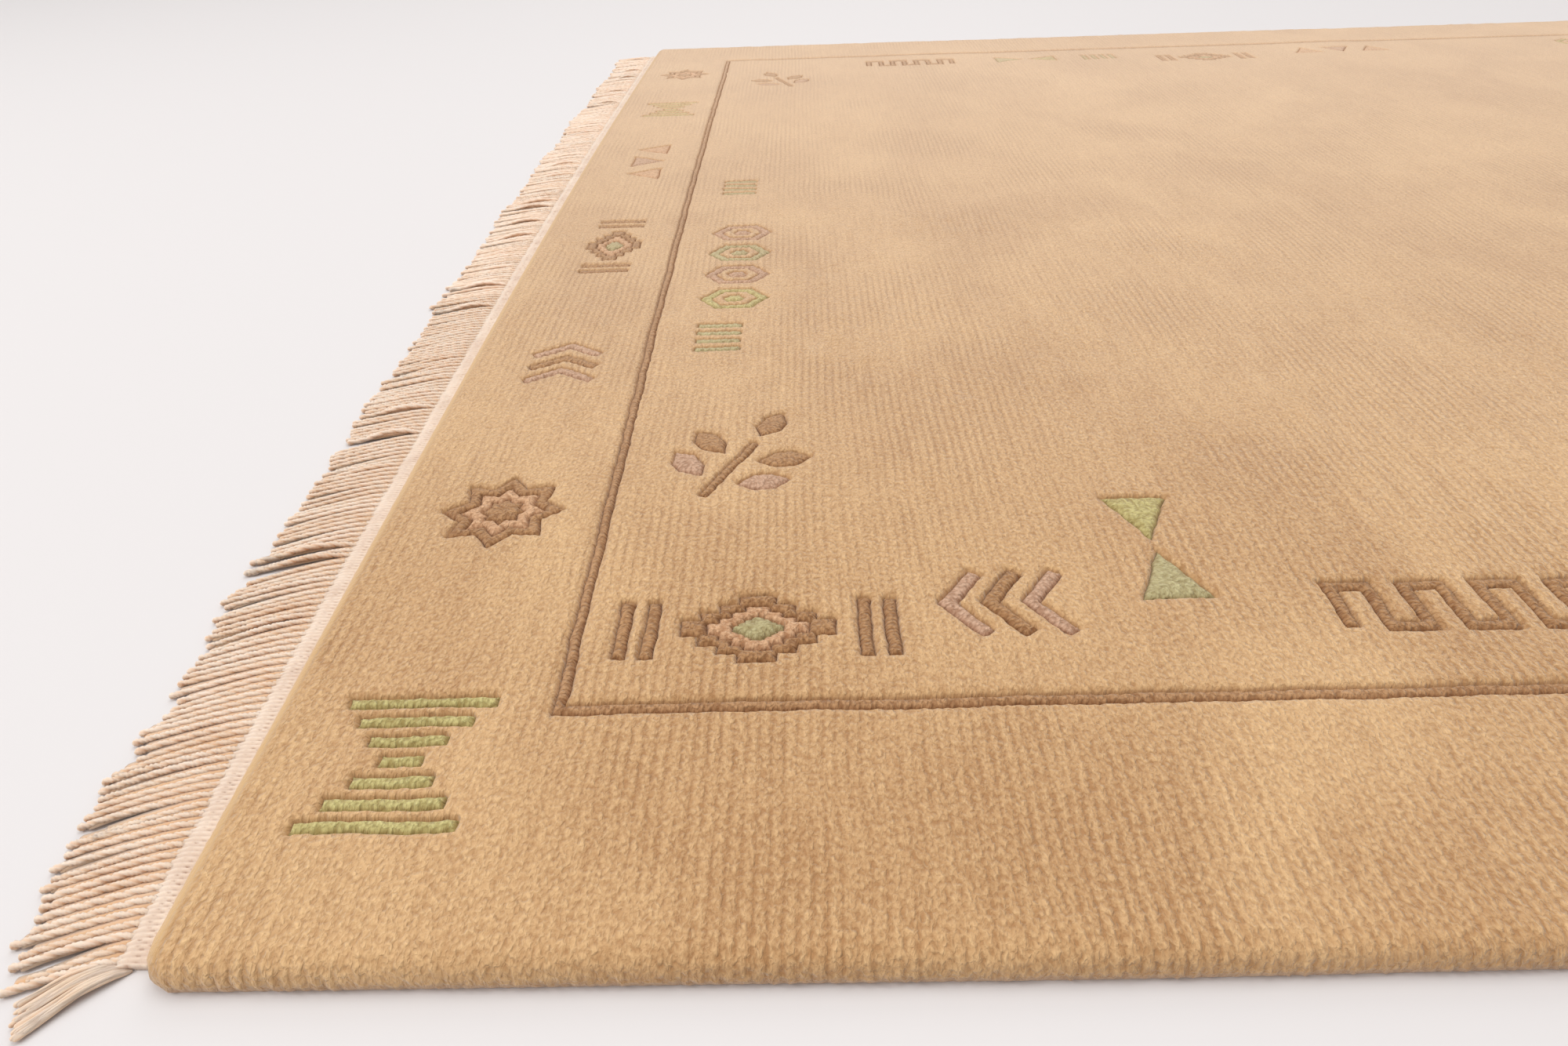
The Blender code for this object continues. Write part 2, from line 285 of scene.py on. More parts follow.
def sprig():
    stem_width, stem_foot, stem_top = 0.004, -0.036, 0.012
    leaf_length, leaf_width = 0.024, 0.013
    tip_root, side_root, side_turn = 0.0178, 0.0082, math.radians(58)
    parts = [("brown", rectangle(stem_width, stem_top - stem_foot, 0, (stem_foot + stem_top) / 2))]
    parts.append(("brown", leaf(leaf_length, leaf_width, (0, tip_root), math.pi / 2)))
    for height, yarn in ((-0.022, "mauve"), (-0.002, "brown")):
        for side in (1, -1):
            turn = math.pi / 2 - side * side_turn
            parts.append((yarn, leaf(leaf_length, leaf_width, (side * side_root, height), turn)))
    return parts


def star():
    points, outer, inner = 8, 0.026, 0.0178
    angles = np.arange(2 * points) * math.pi / points
    radii = np.tile([outer, inner], points)
    outline = np.stack([radii * np.cos(angles), radii * np.sin(angles)], axis=1)
    return [("brown", outline), ("salmon", outline * 0.68), ("brown", outline * 0.36)]


def hourglass():
    pitch, height, waist, growth = 0.0082, 0.0046, 0.013, 0.0115
    return [("lime", rectangle(waist + growth * abs(row), height, 0, pitch * row)) for row in range(-3, 4)]


def crenels():
    half_height, pitch, repeats, band = 0.011, 0.026, 4, 0.005
    line = []
    for step in range(repeats):
        x = pitch * (step - repeats / 2)
        line += [(x, -half_height), (x, half_height)]
        line += [(x + pitch / 2, half_height), (x + pitch / 2, -half_height)]
    return [("brown", stroke(line, band))]


def chevrons():
    pitch, half_w, rise, band = 0.0145, 0.017, 0.012, 0.0056
    parts = []
    for row, yarn in ((-1, "mauve"), (0, "brown"), (1, "mauve")):
        foot = pitch * row - 2 * rise / 3
        parts.append((yarn, stroke([(-half_w, foot), (0, foot + rise), (half_w, foot)], band)))
    return parts


def hexagons():
    half_w, half_h, pitch = 0.0200, 0.0165, 0.038
    angles = np.arange(6) * math.pi / 3
    shape = np.stack([half_w * np.cos(angles), half_h * np.sin(angles)], axis=1)
    parts = []
    for row, yarn in zip((-1.5, -0.5, 0.5, 1.5), ("lime", "mauve", "sage", "mauve")):
        place = (0, pitch * row)
        parts += [(yarn, shape + place), ("ground", shape * 0.66 + place), (yarn, shape * 0.32 + place)]
    return parts


def comb():
    width, height, pitch = 0.0048, 0.024, 0.0098
    return [("sage", rectangle(width, height, pitch * row)) for row in (-1.5, -0.5, 0.5, 1.5)]


def bow_tie():
    waist, reach, half_height = 0.0035, 0.032, 0.013
    wing = np.array([(waist, 0), (reach, -half_height), (reach, half_height)])
    return [("lime", wing), ("sage", -wing)]


layout = [
    # (motif, along from the left end, across from the near side, turn in degrees)
    (hourglass, 0.046, 0.070, 0),
    (star, 0.046, 0.205, 0),
    (chevrons, 0.046, 0.345, 0),
    (lozenge_with_bars, 0.046, 0.520, 0),
    (teeth, 0.046, 0.720, 90),
    (hourglass, 0.046, 0.900, 0),
    (star, 0.046, 1.060, 0),
    (sprig, 0.142, 0.245, -25),
    (lozenge_with_bars, 0.152, 0.128, 90),
    (chevrons, 0.237, 0.140, 90),
    (bow_tie, 0.300, 0.172, 90),
    (crenels, 0.405, 0.134, 0),
    (star, 0.505, 0.140, 0),
    (teeth, 0.615, 0.130, 0),
    (hexagons, 0.760, 0.132, 90),
    (comb, 0.124, 0.370, 90),
    (hexagons, 0.130, 0.480, 0),
    (comb, 0.124, 0.640, 90),
    (sprig, 0.150, 1.020, 20),
    (crenels, 0.300, 1.088, 0),
    (bow_tie, 0.420, 1.088, 0),
    (comb, 0.500, 1.088, 0),
    (lozenge_with_bars, 0.610, 1.070, 90),
    (teeth, 0.760, 1.088, 0),
]


def frame_outline(edge):
    """One edge of the thin line round the field, which wanders as it was knotted."""
    x, y = half_length - frame_inset + 0.85 * edge, half_width - frame_inset + edge
    shares = np.arange(48) / 48
    wander = frame_wander * np.sin(math.pi * shares) * np.sin(5 * shares + 0.5)
    near = np.stack([x * (2 * shares - 1), -y + wander], axis=1)
    right = np.stack([x + frame_bow * np.sin(math.pi * shares), y * (2 * shares - 1)], axis=1)
    return np.concatenate([near, right, -near, -right])


def hand_drawn(points):
    """The same points, each moved a little, as knots step beside the line that they should follow."""
    x, y = points[:, 0], points[:, 1]
    bends = [0.0004 * soft_noise(x, y, 0.012, seed) for seed in (7, 8)]
    steps = [0.00036 * soft_noise(x, y, 0.0028, seed) for seed in (9, 10)]
    return points + np.stack(bends, axis=1) + np.stack(steps, axis=1)


def stepped(outline, fine, coarse):
    """The outline with points along its sides, closest together where the eye comes closest."""
    points = []
    for start, stop in zip(outline, np.roll(outline, -1, axis=0)):
        length = np.linalg.norm(stop - start)
        apart = fine + (coarse - fine) * eased(from_eye((start + stop)[None] / 2)[0], close_by, far_off)
        count = max(1, math.ceil(length / apart))
        points += [start + (stop - start) * k / count for k in range(count)]
        edge_ways.extend([(stop - start) / length] * count)
    return hand_drawn(np.array(points))


edge_ways = []
areas = []
for area, edge in (("line", frame_line / 2), ("ground", -frame_line / 2)):
    areas.append((area, stepped(frame_outline(edge), fine=0.0015, coarse=0.004)))
figure_boxes = []
for motif, along, across, degrees in layout:
    middle = np.array([along - half_length, across - half_width])
    placed = [(yarn, spun(shape, math.radians(degrees)) + middle) for yarn, shape in motif()]
    for half_turn in (1, -1):
        for yarn, shape in placed:
            areas.append((yarn, stepped(shape * half_turn, fine=0.0014, coarse=0.0026)))
        corners = np.concatenate([shape for _, shape in placed]) * half_turn
        figure_boxes.append((corners.min(axis=0) - figure_margin, corners.max(axis=0) + figure_margin))


def flat_tree(points):
    """A tree that finds the nearest of these places on the floor plan."""
    tree = KDTree(len(points))
    for index, point in enumerate(points):
        tree.insert((point[0], point[1], 0), index)
    tree.balance()
    return tree


# The points of the sheared face: the colour outlines, two lines along each side of them, and the knots
edge_tree = flat_tree(np.concatenate([shape for _, shape in areas]))
edge_ways = np.array(edge_ways)
edge_ways *= np.where(edge_ways @ (1.0, 0.37) < 0, -1, 1)[:, None]


def to_edge(points):
    """How far each point lies from the nearest change of colour."""
    return np.array([edge_tree.find((x, y, 0))[2] for x, y in points])


slope = [
    # (inset from the outline, height), from the sheared face down the side to the floor
    (0.0076, 1.000),
    (0.0055, 0.980),
    (0.0038, 0.940),
    (0.0024, 0.870),
    (0.0013, 0.770),
    (0.0006, 0.640),
    (0.0002, 0.490),
    (0.0000, 0.330),
    (0.0003, 0.160),
    (0.0010, 0.000),
]
face_inset = slope[0][0]
corner_clear = 0.0030
rug_edge = rug_outline(near_step=0.0013, far_step=0.0042)
rug_normals = outward(rug_edge)
face_ring = rug_edge - rug_normals * face_inset


def inside_face(points, clear):
    """Which points lie inside the ring where the side begins, clear of it."""
    x, y = points[:, 0], points[:, 1]
    room_x = half_length + end_edge(np.clip(y / half_width / 2 + 0.5, 0, 1)) - face_inset - clear - np.abs(x)
    low = np.clip(np.where(y < 0, x, -x) / half_length / 2 + 0.5, 0, 1)
    room_y = half_width + side_edge(low) - face_inset - clear - np.abs(y)
    return (room_x > 0) & (room_y > 0) & (room_x + room_y > corner_clear)


rng = np.random.default_rng(11)
levels = [
    # (from this distance to that one from the closest place, rows apart, step along a row)
    (0.00, 0.28, 0.5, 0.0021),
    (0.28, 0.62, 0.5, 0.0055),
    (0.62, 1.10, 1.0, 0.0066),
    (1.10, 9.00, 2.0, 0.0100),
]
clouds = []
for start, stop, rows_apart, step in levels:
    apart = rows_apart * row_pitch
    rows = np.arange(-half_length, half_length, apart)
    rows = np.round(rows / apart) * apart
    steps = np.arange(-half_width, half_width, step)
    x, y = np.meshgrid(rows, steps, indexing="ij")
    y = y + step * (np.arange(len(rows)) % 2)[:, None] / 2 + rng.uniform(-0.2, 0.2, y.shape) * step
    cloud = np.stack([x.ravel(), y.ravel()], axis=1)
    cloud[:, 0] -= row_place(cloud[:, 0], cloud[:, 1]) - cloud[:, 0]
    away = from_eye(cloud)
    cloud = cloud[(away >= start) & (away < stop)]
    cloud = cloud[inside_face(cloud, 0.4 * min(apart, step))]
    clouds.append(cloud)
for low, high in figure_boxes:
    if from_eye((low + high)[None] / 2)[0] > levels[0][1]:
        step = levels[0][3]
        rows, steps = np.arange(low[0], high[0], row_pitch / 2), np.arange(low[1], high[1], step)
        x, y = np.meshgrid(rows, steps, indexing="ij")
        patch = np.stack([x.ravel(), y.ravel() + rng.uniform(-0.2, 0.2, x.size) * step], axis=1)
        clouds = [cloud[~np.all((cloud > low) & (cloud < high), axis=1)] for cloud in clouds] + [patch]
knots = np.concatenate(clouds)
knots = knots[to_edge(knots) > knot_clear]
shoulders = []
for _, shape in areas:
    out = outward(shape)
    for offset in shoulder_offsets:
        for side in (1, -1):
            beside = shape + out * side * offset
            shoulders.append(beside[to_edge(beside) > 0.86 * offset])
shoulders = np.concatenate(shoulders)
shoulders = shoulders[inside_face(shoulders, 0.001)]

# One triangulation of the whole face, which keeps every colour outline as edges
loops, first = [], 0
for shape in [face_ring] + [shape for _, shape in areas]:
    count = len(shape)
    loops += [(first + k, first + (k + 1) % count) for k in range(count)]
    first += count
flat = np.concatenate([face_ring] + [shape for _, shape in areas] + [knots, shoulders])
flat_points, _, flat_faces, _, _, _ = delaunay_2d_cdt([Vector(p) for p in flat.tolist()], loops, [], 0, 1e-7)
face_points = np.array([tuple(p) for p in flat_points])
face_triangles = np.array(flat_faces)


def inside(points, shape):
    """Which points lie inside a closed outline."""
    found = np.zeros(len(points), bool)
    near = np.all((points > shape.min(axis=0)) & (points < shape.max(axis=0)), axis=1)
    x, y = points[near].T
    crossed = np.zeros(len(x), bool)
    for (ax, ay), (bx, by) in zip(shape, np.roll(shape, -1, axis=0)):
        spans = (ay > y) != (by > y)
        if ay != by:
            crossed ^= spans & (x < (bx - ax) * (y - ay) / (by - ay) + ax)
    found[near] = crossed
    return found


middles = face_points[face_triangles].mean(axis=1)
on_face = inside(middles, face_ring)
face_triangles, middles = face_triangles[on_face], middles[on_face]
yarn_of = np.full(len(middles), "border", dtype="<U8")
inner_frame = inside(middles, areas[1][1])
for yarn, shape in areas:
    yarn_of[inside(middles, shape)] = yarn
yarn_of[(yarn_of == "ground") & inner_frame] = "field"
yarn_of[yarn_of == "ground"] = "border"


def groove_at(distance):
    """How deep the shears went, from 1 on the change of colour to 0 on the level face."""
    return np.exp(-((distance / groove_reach) ** 1.6))


def face_height(points, distance, in_figure):
    """The height of the sheared pile: level, a little uneven, in soft rows of knots, and carved."""
    x, y = points.T
    uneven = 0.00035 * soft_noise(x, y, 0.09, 21) + 0.0002 * soft_noise(x, y, 0.02, 22)
    near = 1 - eased(from_eye(points), 0.54, 0.62)
    strength = 0.00016 + 0.00013 * soft_noise(x, y, 0.05, 23)
    rows = np.cos(2 * math.pi * row_place(x, y) / row_pitch) * strength * near
    tufts = np.random.default_rng(5).uniform(-1, 1, len(x)) * (0.00005 + 0.00007 * near)
    level = (1 - groove_at(distance)) * (rows + tufts)
    stroke_edge, ground_edge = np.exp(-distance / 0.0014), 0.3 * np.exp(-distance / 0.0016)
    rounded = stroke_rounding * np.where(in_figure, stroke_edge, ground_edge)
    return face_level + uneven + level - rounded - groove_depth * groove_at(distance)


edge_distance = to_edge(face_points)
in_figure = np.zeros(len(face_points), bool)
in_figure[face_triangles[~np.isin(yarn_of, ["border", "field"])]] = True
heights = face_height(face_points, edge_distance, in_figure)


def set_mask(obj, name, value):
    attribute = obj.data.attributes.new(name, "FLOAT", "POINT")
    attribute.data.foreach_set("value", value.astype(np.float32))


def pile_piece(name, yarn, material):
    """The part of the sheared face that one yarn was knotted in."""
    faces = face_triangles[yarn_of == yarn]
    used, index = np.unique(faces, return_inverse=True)
    index = index.reshape(faces.shape)
    points = np.column_stack([face_points[used], heights[used]])
    rows = np.column_stack([row_place(*face_points[used].T), face_points[used][:, 1]])
    deep = groove_at(edge_distance[used])
    foot = end_rim_sheen = np.zeros(len(used))
    if yarn == "border":
        points, rows, deep, foot, end_rim_sheen, index = with_side(points, rows, deep, index)
    obj = mesh_object(name, points, index, material)
    rows = rows[index]
    if yarn not in ("border", "field"):
        # In a figure the beads of wool lie across the stroke, so its pattern is turned to the nearest outline
        middles = face_points[faces].mean(axis=1)
        way = edge_ways[[edge_tree.find((x, y, 0))[1] for x, y in middles]]
        over = np.stack([-way[:, 1], way[:, 0]], axis=1)
        rows = np.stack([np.einsum("fcx,fx->fc", face_points[faces], axis) for axis in (way, over)], axis=2)
    uv = obj.data.uv_layers.new(name="knot_rows")
    uv.data.foreach_set("uv", rows.astype(np.float32).ravel())
    for mask, value in (("carved", deep), ("foot", foot), ("end_rim_sheen", end_rim_sheen)):
        set_mask(obj, mask, value)
    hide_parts("pile")
    return obj


def with_side(points, rows, deep, faces):
    """The border with its side, which rounds over and falls to the floor in a row of larger tufts."""
    count, start = len(rug_edge), len(points)
    along = np.cumsum(np.linalg.norm(rug_edge - np.roll(rug_edge, 1, axis=0), axis=1))
    tuft = np.cos(2 * math.pi * (along + 0.0014 * soft_noise(along, along * 0, 0.012, 31)) / row_pitch)
    tuft *= 0.00024 + 0.00020 * soft_noise(along, along * 0, 0.009, 32)
    at_end = np.abs(rug_normals[:, 0]) ** 2
    loose = np.random.default_rng(6)
    new_points, new_rows, new_foot, new_end_rim_sheen, run = [], [], [], [], 0.0
    for k, (inset, share) in enumerate(slope[1:], 1):
        fuzz = loose.uniform(-1, 1, (2, count)) * 0.00034 * (1 - 0.75 * at_end) * (0 < share < 1)
        out = -inset + tuft * math.sin(math.pi * min(1, share + 0.12)) * (1 - 0.7 * at_end) + fuzz[0]
        place = rug_edge + rug_normals * out[:, None]
        new_points.append(np.column_stack([place, face_level * share + fuzz[1]]))
        run += math.hypot(slope[k - 1][0] - inset, face_level * (slope[k - 1][1] - share))
        spread = face_ring + rug_normals * run
        new_rows.append(np.column_stack([row_place(*spread.T), spread[:, 1]]))
        # The foot's mask paints it partly as foundation and partly as shade
        new_foot.append(np.full(count, float(eased(share, 0.40, 0.02))))
        # The rounded side at the ends gets the mask of painted sheen
        new_end_rim_sheen.append(at_end * eased(share, 1.0, 0.93))
    nearest = flat_tree(points)
    top = np.array([nearest.find((x, y, 0))[1] for x, y in face_ring])
    rings = [top] + [start + count * k + np.arange(count) for k in range(len(new_points))]
    sides = []
    for upper, lower in zip(rings, rings[1:]):
        next_upper, next_lower = np.roll(upper, -1), np.roll(lower, -1)
        sides.append(np.column_stack([upper, lower, next_lower]))
        sides.append(np.column_stack([upper, next_lower, next_upper]))
    none = np.zeros(start)
    points = np.concatenate([points] + new_points)
    rows = np.concatenate([rows] + new_rows)
    deep = np.concatenate([deep, np.zeros(count * len(new_points))])
    foot, end_rim_sheen = np.concatenate([none] + new_foot), np.concatenate([none] + new_end_rim_sheen)
    return points, rows, deep, foot, end_rim_sheen, np.concatenate([faces] + sides)


def linear(red, green, blue):
    """A colour given as a screen shows it, from 0 to 255, as light."""
    parts = [value / 255 for value in (red, green, blue)]
    return tuple(p / 12.92 if p < 0.04045 else ((p + 0.055) / 1.055) ** 2.4 for p in parts) + (1.0,)


def knotted_wool_group():
    """Node group: the colour and height of knotted wool, from its rows, knots, beads, fibres and patches."""
    group = bpy.data.node_groups.new("knotted_wool", "ShaderNodeTree")
    sockets = group.interface
    sockets.new_socket("Yarn", in_out="INPUT", socket_type="NodeSocketColor")
    sockets.new_socket("Shaded yarn", in_out="INPUT", socket_type="NodeSocketColor")
    sockets.new_socket("Patches", in_out="INPUT", socket_type="NodeSocketFloat")
    sockets.new_socket("Beads", in_out="INPUT", socket_type="NodeSocketFloat")
    sockets.new_socket("Colour", in_out="OUTPUT", socket_type="NodeSocketColor")
    sockets.new_socket("Height", in_out="OUTPUT", socket_type="NodeSocketFloat")
    add, join = group.nodes.new, group.links.new
    given, result = add("NodeGroupInput"), add("NodeGroupOutput")
    places = add("ShaderNodeTexCoord")

    def noise(scale, detail, stretch=(1, 1, 1), source="UV", distortion=0.0):
        mapping = add("ShaderNodeMapping")
        mapping.inputs["Scale"].default_value = stretch
        join(places.outputs[source], mapping.inputs["Vector"])
        texture = add("ShaderNodeTexNoise")
        texture.inputs["Scale"].default_value = scale
        texture.inputs["Detail"].default_value = detail
        texture.inputs["Distortion"].default_value = distortion
        join(mapping.outputs["Vector"], texture.inputs["Vector"])
        return texture.outputs["Fac"]

    def ranged(value, low, high, to_low, to_high):
        node = add("ShaderNodeMapRange")
        names = ("From Min", "From Max", "To Min", "To Max")
        for name, number in zip(names, (low, high, to_low, to_high)):
            node.inputs[name].default_value = number
        join(value, node.inputs["Value"])
        return node.outputs["Result"]

    def combined(kind, first, second):
        node = add("ShaderNodeMath")
        node.operation = kind
        for value, socket in zip((first, second), node.inputs):
            if isinstance(value, (int, float)):
                socket.default_value = value
            else:
                join(value, socket)
        return node.outputs["Value"]

    def bands(pitch, distortion):
        wave = add("ShaderNodeTexWave")
        wave.wave_type, wave.bands_direction = "BANDS", "X"
        wave.inputs["Scale"].default_value = 2 * math.pi / 20 / pitch
        wave.inputs["Phase Offset"].default_value = math.pi / 2
        wave.inputs["Distortion"].default_value = distortion
        wave.inputs["Detail Scale"].default_value = 2.0
        join(places.outputs["UV"], wave.inputs["Vector"])
        return wave.outputs["Fac"]

    def blended(kind, factor, first, second):
        node = add("ShaderNodeMix")
        node.data_type, node.blend_type = "RGBA", kind
        for value, socket in zip((factor, first, second), ("Factor", "A", "B")):
            if isinstance(value, (float, tuple)):
                node.inputs[socket].default_value = value
            else:
                join(value, node.inputs[socket])
        return node.outputs["Result"]

    def mask(name):
        attribute = add("ShaderNodeAttribute")
        attribute.attribute_name = name
        return attribute.outputs["Fac"]

    # Narrow gaps between broad rows, which show more in some places than in others
    row = combined("POWER", bands(row_pitch, 0.9), 0.42)
    gap = combined("MULTIPLY", combined("SUBTRACT", 1.0, row), ranged(noise(11, 2), 0.4, 0.6, 0.15, 0.85))
    row = combined("SUBTRACT", 1.0, gap)
    knot = add("ShaderNodeTexVoronoi")
    knot.feature = "SMOOTH_F1"
    knot.inputs["Scale"].default_value = 1 / knot_size
    knot.inputs["Smoothness"].default_value = 0.22
    wider = add("ShaderNodeMapping")
    wider.inputs["Scale"].default_value = (1.1, 0.78, 1)
    join(places.outputs["UV"], wider.inputs["Vector"])
    join(wider.outputs["Vector"], knot.inputs["Vector"])
    knot_top = ranged(knot.outputs["Distance"], 0.28, 0.82, 1.0, 0.0)
    fibre = noise(1500, 3, stretch=(1, 0.6, 1), distortion=0.4)
    tangle = ranged(noise(900, 2, stretch=(1, 0.6, 1), distortion=0.6), 0.34, 0.66, 0.0, 1.0)
    pile = combined("ADD", combined("MULTIPLY", row, 0.5), combined("MULTIPLY", knot_top, 0.34))
    ridges = combined("MULTIPLY", bands(bead_pitch, 9.0), 0.16)
    beads = combined("ADD", combined("ADD", ridges, 0.25), combined("MULTIPLY", knot_top, 0.66))
    beaded = add("ShaderNodeMix")
    join(given.outputs["Beads"], beaded.inputs["Factor"])
    join(pile, beaded.inputs["A"])
    join(beads, beaded.inputs["B"])
    height = combined("ADD", beaded.outputs["Result"], combined("MULTIPLY", fibre, 0.3))
    height = combined("ADD", height, combined("MULTIPLY", tangle, 0.42))
    height = combined("MULTIPLY", height, ranged(mask("end_rim_sheen"), 0.0, 1.0, 1.0, 0.25))
    height = combined("MULTIPLY", height, ranged(mask("foot"), 0.0, 1.0, 1.0, 0.4))

    streak = noise(36, 2, stretch=(6.5, 0.5, 1))
    each_row = noise(1 / row_pitch, 0, stretch=(1, 0.12, 1))
    patch = noise(8.5, 2, stretch=(1, 0.75, 1), source="Object", distortion=0.8)
    sweep = noise(2.3, 2, source="Object")
    # Painted highlight and shade: the colour follows the height, paler on the knot tops and darker in the
    # gaps between knots and rows. The streaks and changes from row to row added to it are the dye's own
    tone = combined("ADD", ranged(height, 0.6, 1.38, -0.36, 0.30), ranged(streak, 0.3, 0.7, -0.06, 0.06))
    tone = combined("ADD", tone, ranged(each_row, 0.25, 0.75, -0.04, 0.04))
    # Broad patches: partly the dye's own abrash, partly painted sheen where the pile lies one way or the
    # other
    abrash_and_lay_sheen = combined("ADD", ranged(patch, 0.35, 0.68, -0.10, 0.14), ranged(sweep, 0.3, 0.7, -0.07, 0.07))
    tone = combined("ADD", tone, combined("MULTIPLY", abrash_and_lay_sheen, given.outputs["Patches"]))
    pale = blended("SCREEN", 0.42, given.outputs["Yarn"], given.outputs["Yarn"])
    dark = blended("MULTIPLY", 1.0, given.outputs["Yarn"], (0.62, 0.54, 0.47, 1.0))
    colour = blended("MIX", ranged(tone, -0.42, 0.42, 0, 1), dark, pale)
    # Painted sheen: the wool is painted paler towards the far side, where the pile is seen at a grazing angle
    across = add("ShaderNodeSeparateXYZ")
    join(places.outputs["Object"], across.inputs["Vector"])
    far_side_sheen = combined("MULTIPLY", ranged(across.outputs["Y"], -0.45, 0.5, 0.0, 0.5), given.outputs["Patches"])
    colour = blended("MIX", far_side_sheen, colour, linear(242, 212, 184))
    # Painted sheen: the rounded side at the ends is painted golden, as it shines when seen edge-on
    colour = blended("MIX", ranged(mask("end_rim_sheen"), 0.0, 1.0, 0.0, 0.75), colour, linear(206, 170, 120))
    # The foot of the side is painted mauve-grey: partly the cotton foundation that shows there, partly
    # painted shade under the rounded edge
    colour = blended("MIX", ranged(mask("foot"), 0.0, 1.0, 0.0, 0.7), colour, linear(186, 150, 122))
    # Painted shade: down in the carved grooves the yarn is painted towards its shaded colour
    carved = ranged(mask("carved"), 0.2, 1.0, 0.0, 0.7)
    join(blended("MIX", carved, colour, given.outputs["Shaded yarn"]), result.inputs["Colour"])
    join(height, result.inputs["Height"])
    return group


knotted_wool = knotted_wool_group()


def wool(name, yarn, shaded, patches=0.8, beads=0.0, haze=0.3):
    """Dyed wool in cut pile: soft, rough, and paler where the light grazes the fibre tips."""
    material, nodes, links, shader = new_material(name)
    tufts = nodes.new("ShaderNodeGroup")
    tufts.node_tree = knotted_wool
    tufts.inputs["Yarn"].default_value = linear(*yarn)
    tufts.inputs["Shaded yarn"].default_value = linear(*shaded)
    tufts.inputs["Patches"].default_value = patches
    tufts.inputs["Beads"].default_value = beads
    relief = nodes.new("ShaderNodeBump")
    relief.inputs["Strength"].default_value = 0.8
    relief.inputs["Distance"].default_value = 0.0010
    links.new(tufts.outputs["Height"], relief.inputs["Height"])
    links.new(relief.outputs["Normal"], shader.inputs["Normal"])
    links.new(tufts.outputs["Colour"], shader.inputs["Base Color"])
    shader.inputs["Roughness"].default_value = 0.95
    shader.inputs["Specular IOR Level"].default_value = 0.15
    shader.inputs["Sheen Weight"].default_value = haze
    shader.inputs["Sheen Roughness"].default_value = 0.5
    shader.inputs["Sheen Tint"].default_value = linear(255, 236, 214)
    return material


amber_wool = wool("amber_wool", (209, 165, 117), (190, 147, 102), patches=1.0, haze=0.6)
border_pile = pile_piece("border_pile", "border", amber_wool)
field_pile = pile_piece("field_pile", "field", amber_wool)


# The frame line
# A single brown line that frames the field, one row wide at the ends and two knots along the sides. It stands
# a little proud of the grooves that the shears cut on both its sides.

bark_wool = wool("bark_wool", (174, 130, 91), (132, 93, 62), beads=1.0)
frame_line_pile = pile_piece("frame_line_pile", "line", bark_wool)


# The figures
# Small knotted ornaments in brown, salmon, mauve and two greens, each colour outlined by the shears. They are
# plain geometric ones, scattered inside the frame line and along the end borders.

for yarn, colour, shaded, beads in (
    ("brown", (168, 124, 84), (122, 84, 56), 1.0),
    ("salmon", (211, 163, 124), (166, 118, 82), 0.8),
    ("mauve", (194, 153, 126), (150, 110, 86), 1.0),
    ("sage", (182, 172, 126), (142, 128, 86), 0.3),
    ("lime", (190, 178, 116), (146, 132, 80), 0.8),
):
    dyed = wool(yarn + "_wool", colour, shaded, beads=beads)
    pile_piece(yarn + "_figures", yarn, dyed)


# The flat-woven strips
# At each end the cotton warps run on through a few hard-beaten wefts, which lock the last row of knots. The
# warps show as fine ribs, and three rows of chained stitches leave small uneven slots between the ribs.

strip_width = 0.010
strip_inset = 0.007
piece_gap = 0.0004
cord_pitch = 0.003692
rib_pitch = cord_pitch / 2
strip_end = half_width - strip_inset
slot_rows = (0.0018, 0.0036, 0.0054)
slot_reach = 0.00060
slot_depth = 0.0005
strip_top = 0.0021
rib_height = 0.00014
thins_from = 0.0062
edge_drop = 0.0009
edge_scallop = 0.0007
fine_ribs = 220


def beside_pile(across, out):
    """Points beside the left end of the pile, at places across the rug and distances out from it."""
    share = across / half_width / 2 + 0.5
    return np.column_stack([-half_length - piece_gap - end_edge(share) - out, across])


def cotton_piece(name, half_turn, material, points, faces, threads, hollow):
    """A cotton mesh at one end of the rug, with the run of its threads and the mask of its painted shade and
    tone.
    """
    obj = mesh_object(name, points * (-1, -1, 1) if half_turn else points, faces, material)
    corner = np.empty(len(obj.data.loops), int)
    obj.data.loops.foreach_get("vertex_index", corner)
    uv = obj.data.uv_layers.new(name="thread_run")
    uv.data.foreach_set("uv", threads[corner].astype(np.float32).ravel())
    set_mask(obj, "hollow", hollow)
    return obj


